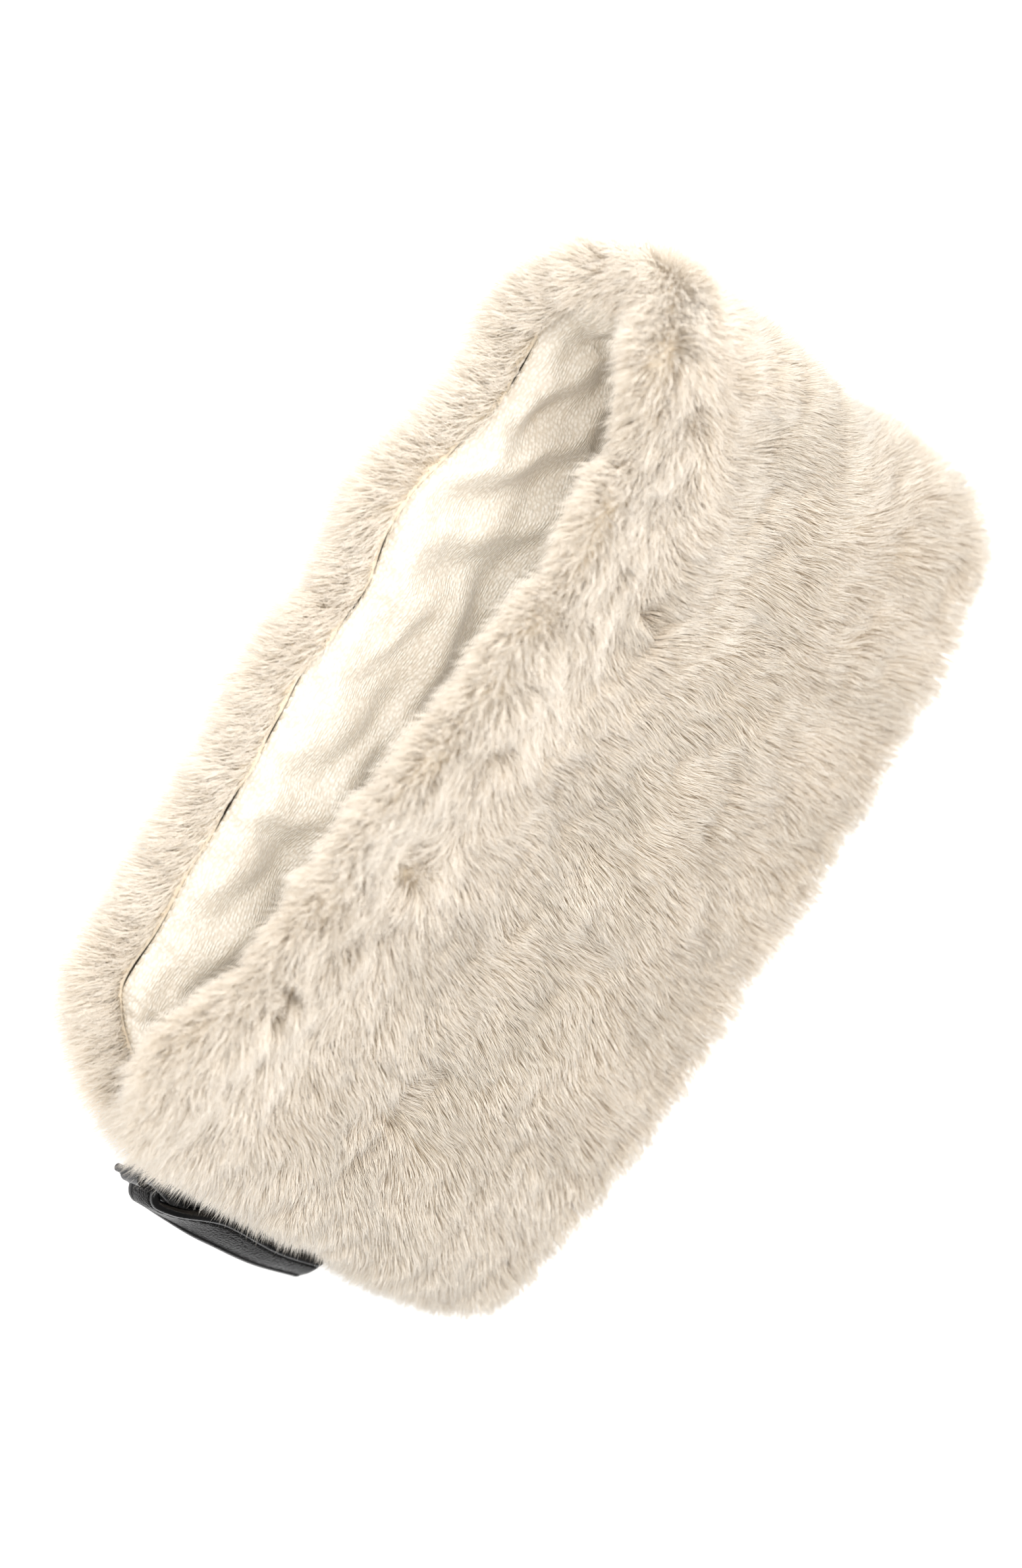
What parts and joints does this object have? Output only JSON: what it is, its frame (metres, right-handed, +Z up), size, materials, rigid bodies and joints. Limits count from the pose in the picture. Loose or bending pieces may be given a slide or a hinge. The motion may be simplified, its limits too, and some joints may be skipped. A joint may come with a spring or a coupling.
{
  "type": "hand warmer muff",
  "caption": "Lined faux-fur hand muff, a padded flat sleeve open along both long edges, with a folded leather carry loop on one end.",
  "frame": {"origin": "middle of the flat underside the muff lies on", "axes": "+X along the openings towards the end with the carry loop, +Y from the front mouth to the rear mouth, +Z up"},
  "size_m": [0.3555, 0.225, 0.09],
  "materials": {
    "fur": "long soft pile",
    "wadding": "lofty wadding",
    "lining": "fine jersey knit with a slight sheen",
    "thread": "spun thread",
    "leather": "pebbled, glossy",
    "leather_thread": "waxed thread",
    "strap_padding": "felt",
    "ring_wire": "black enamelled steel wire"
  },
  "bodies": {
    "muff": {"fur_bottom": "fur", "wadding_bottom": "wadding", "lining_bottom": "lining", "side_seam_left": "fur", "side_seam_right": "fur", "lining_seam_left": "lining", "lining_seam_right": "lining", "side_seam_thread_left": "thread", "side_seam_thread_right": "thread", "front_hem_stitches_bottom": "thread", "rear_hem_stitches_bottom": "thread", "anchor_tab": "leather", "anchor_stitches": "leather_thread"},
    "upper_wall": {"fur_top": "fur", "wadding_top": "wadding", "lining_top": "lining", "front_hem_stitches_top": "thread", "rear_hem_stitches_top": "thread"},
    "ring": {"ring": "ring_wire"},
    "loop": {"loop_face": "leather", "loop_core": "strap_padding", "loop_backing": "leather", "loop_edge_upper": "leather", "loop_edge_lower": "leather", "loop_stitches_upper": "leather_thread", "loop_stitches_lower": "leather_thread"}
  },
  "joints": [
    {"name": "wall_press", "type": "slide", "parent": "muff", "child": "upper_wall", "axis": [0, 0, -1], "range_m": [0, 0.012], "stiffness_N_per_m": 600, "springref_m": -0.006, "deforming": ["side_seam_left", "side_seam_right", "lining_seam_left", "lining_seam_right"]},
    {"name": "ring_swing", "type": "hinge", "parent": "muff", "child": "ring", "pos_m": [0.1738, -0.057, 0.0245], "axis": [0.2079, 0, -0.9781], "range_deg": [0, 60]},
    {"name": "loop_swing", "type": "hinge", "parent": "ring", "child": "loop", "pos_m": [0.17688, -0.04836, 0.02515], "axis": [0.2079, 0, -0.9781], "range_deg": [0, 100]}
  ]
}
